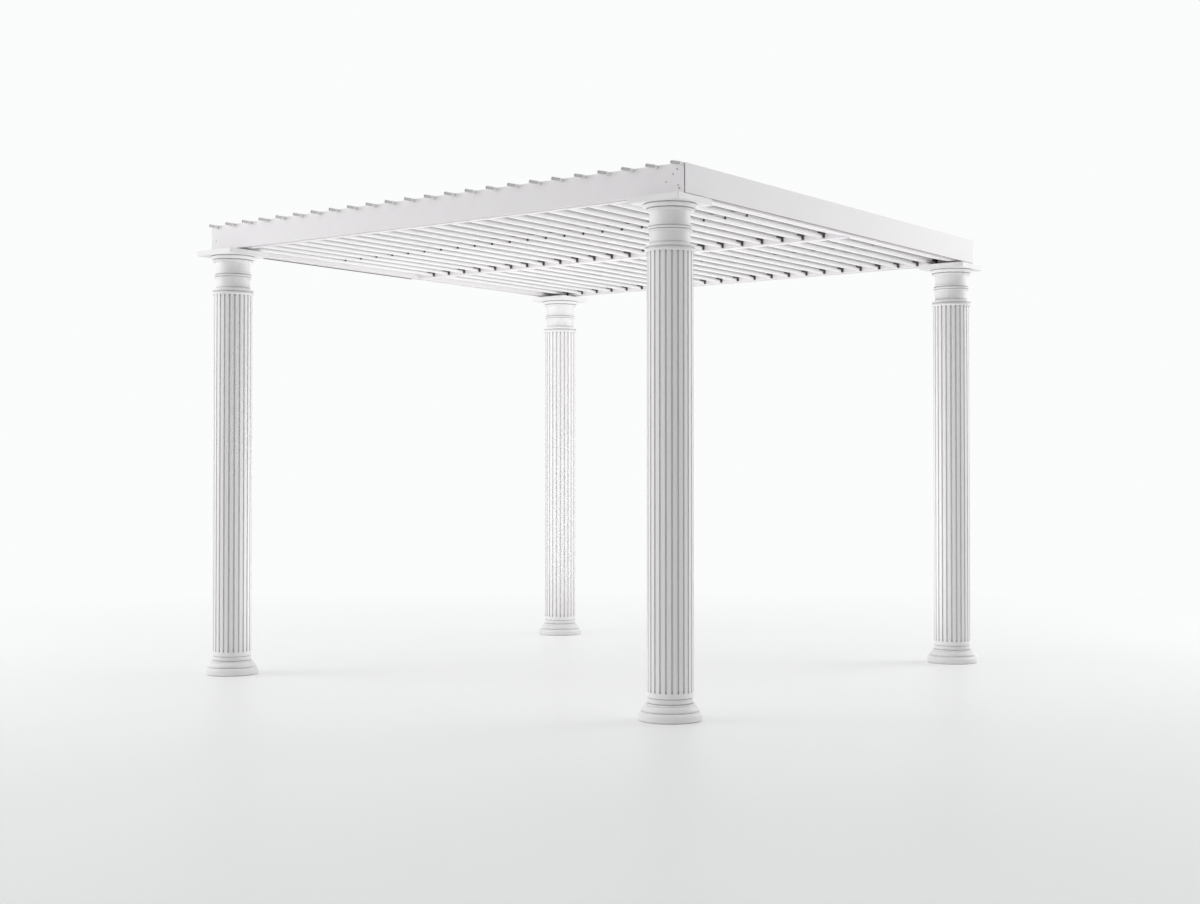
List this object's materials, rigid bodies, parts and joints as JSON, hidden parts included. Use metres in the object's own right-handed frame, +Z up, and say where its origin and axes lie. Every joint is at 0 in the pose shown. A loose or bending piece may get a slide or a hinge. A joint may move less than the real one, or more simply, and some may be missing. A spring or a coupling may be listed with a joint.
{
  "type": "garden pergola",
  "caption": "Free-standing open pergola: fluted columns with turned bases and square-topped capitals carry a mitred beam frame with louvre blades and tilted slats.",
  "frame": {"origin": "centre of the bounding box on the ground, under the middle of the roof", "axes": "+Z up, +X along the front beam to the right as seen from the front, +Y from front to back"},
  "size_m": [3.35, 3.35, 2.5881],
  "materials": {
    "column_coat": "white satin powder coat on fluted aluminium columns",
    "frame_coat": "white satin powder coat on the beams and pads",
    "slat_coat": "white satin powder coat on hollow slats",
    "blade_coat": "white satin powder coat on louvre blades",
    "seal_rubber": "black rubber seals and pivot bushes between the louvre blades",
    "fixing_steel": "stainless steel screws"
  },
  "bodies": {
    "root": {"front_left_column_base": "column_coat", "front_left_column_shaft": "column_coat", "front_left_capital": "column_coat", "front_left_abacus": "column_coat", "front_left_corner_pad": "frame_coat", "front_right_column_base": "column_coat", "front_right_column_shaft": "column_coat", "front_right_capital": "column_coat", "front_right_abacus": "column_coat", "front_right_corner_pad": "frame_coat", "back_left_column_base": "column_coat", "back_left_column_shaft": "column_coat", "back_left_capital": "column_coat", "back_left_abacus": "column_coat", "back_left_corner_pad": "frame_coat", "back_right_column_base": "column_coat", "back_right_column_shaft": "column_coat", "back_right_capital": "column_coat", "back_right_abacus": "column_coat", "back_right_corner_pad": "frame_coat", "front_beam": "frame_coat", "right_beam": "frame_coat", "back_beam": "frame_coat", "left_beam": "frame_coat", "mid_beam": "frame_coat", "front_purlin": "frame_coat", "back_purlin": "frame_coat", "top_slats": "slat_coat", "front_slat_seats": "slat_coat", "mid_slat_seats": "slat_coat", "back_slat_seats": "slat_coat", "front_louvre_blades": "blade_coat", "back_louvre_blades": "blade_coat"}
  },
  "joints": []
}
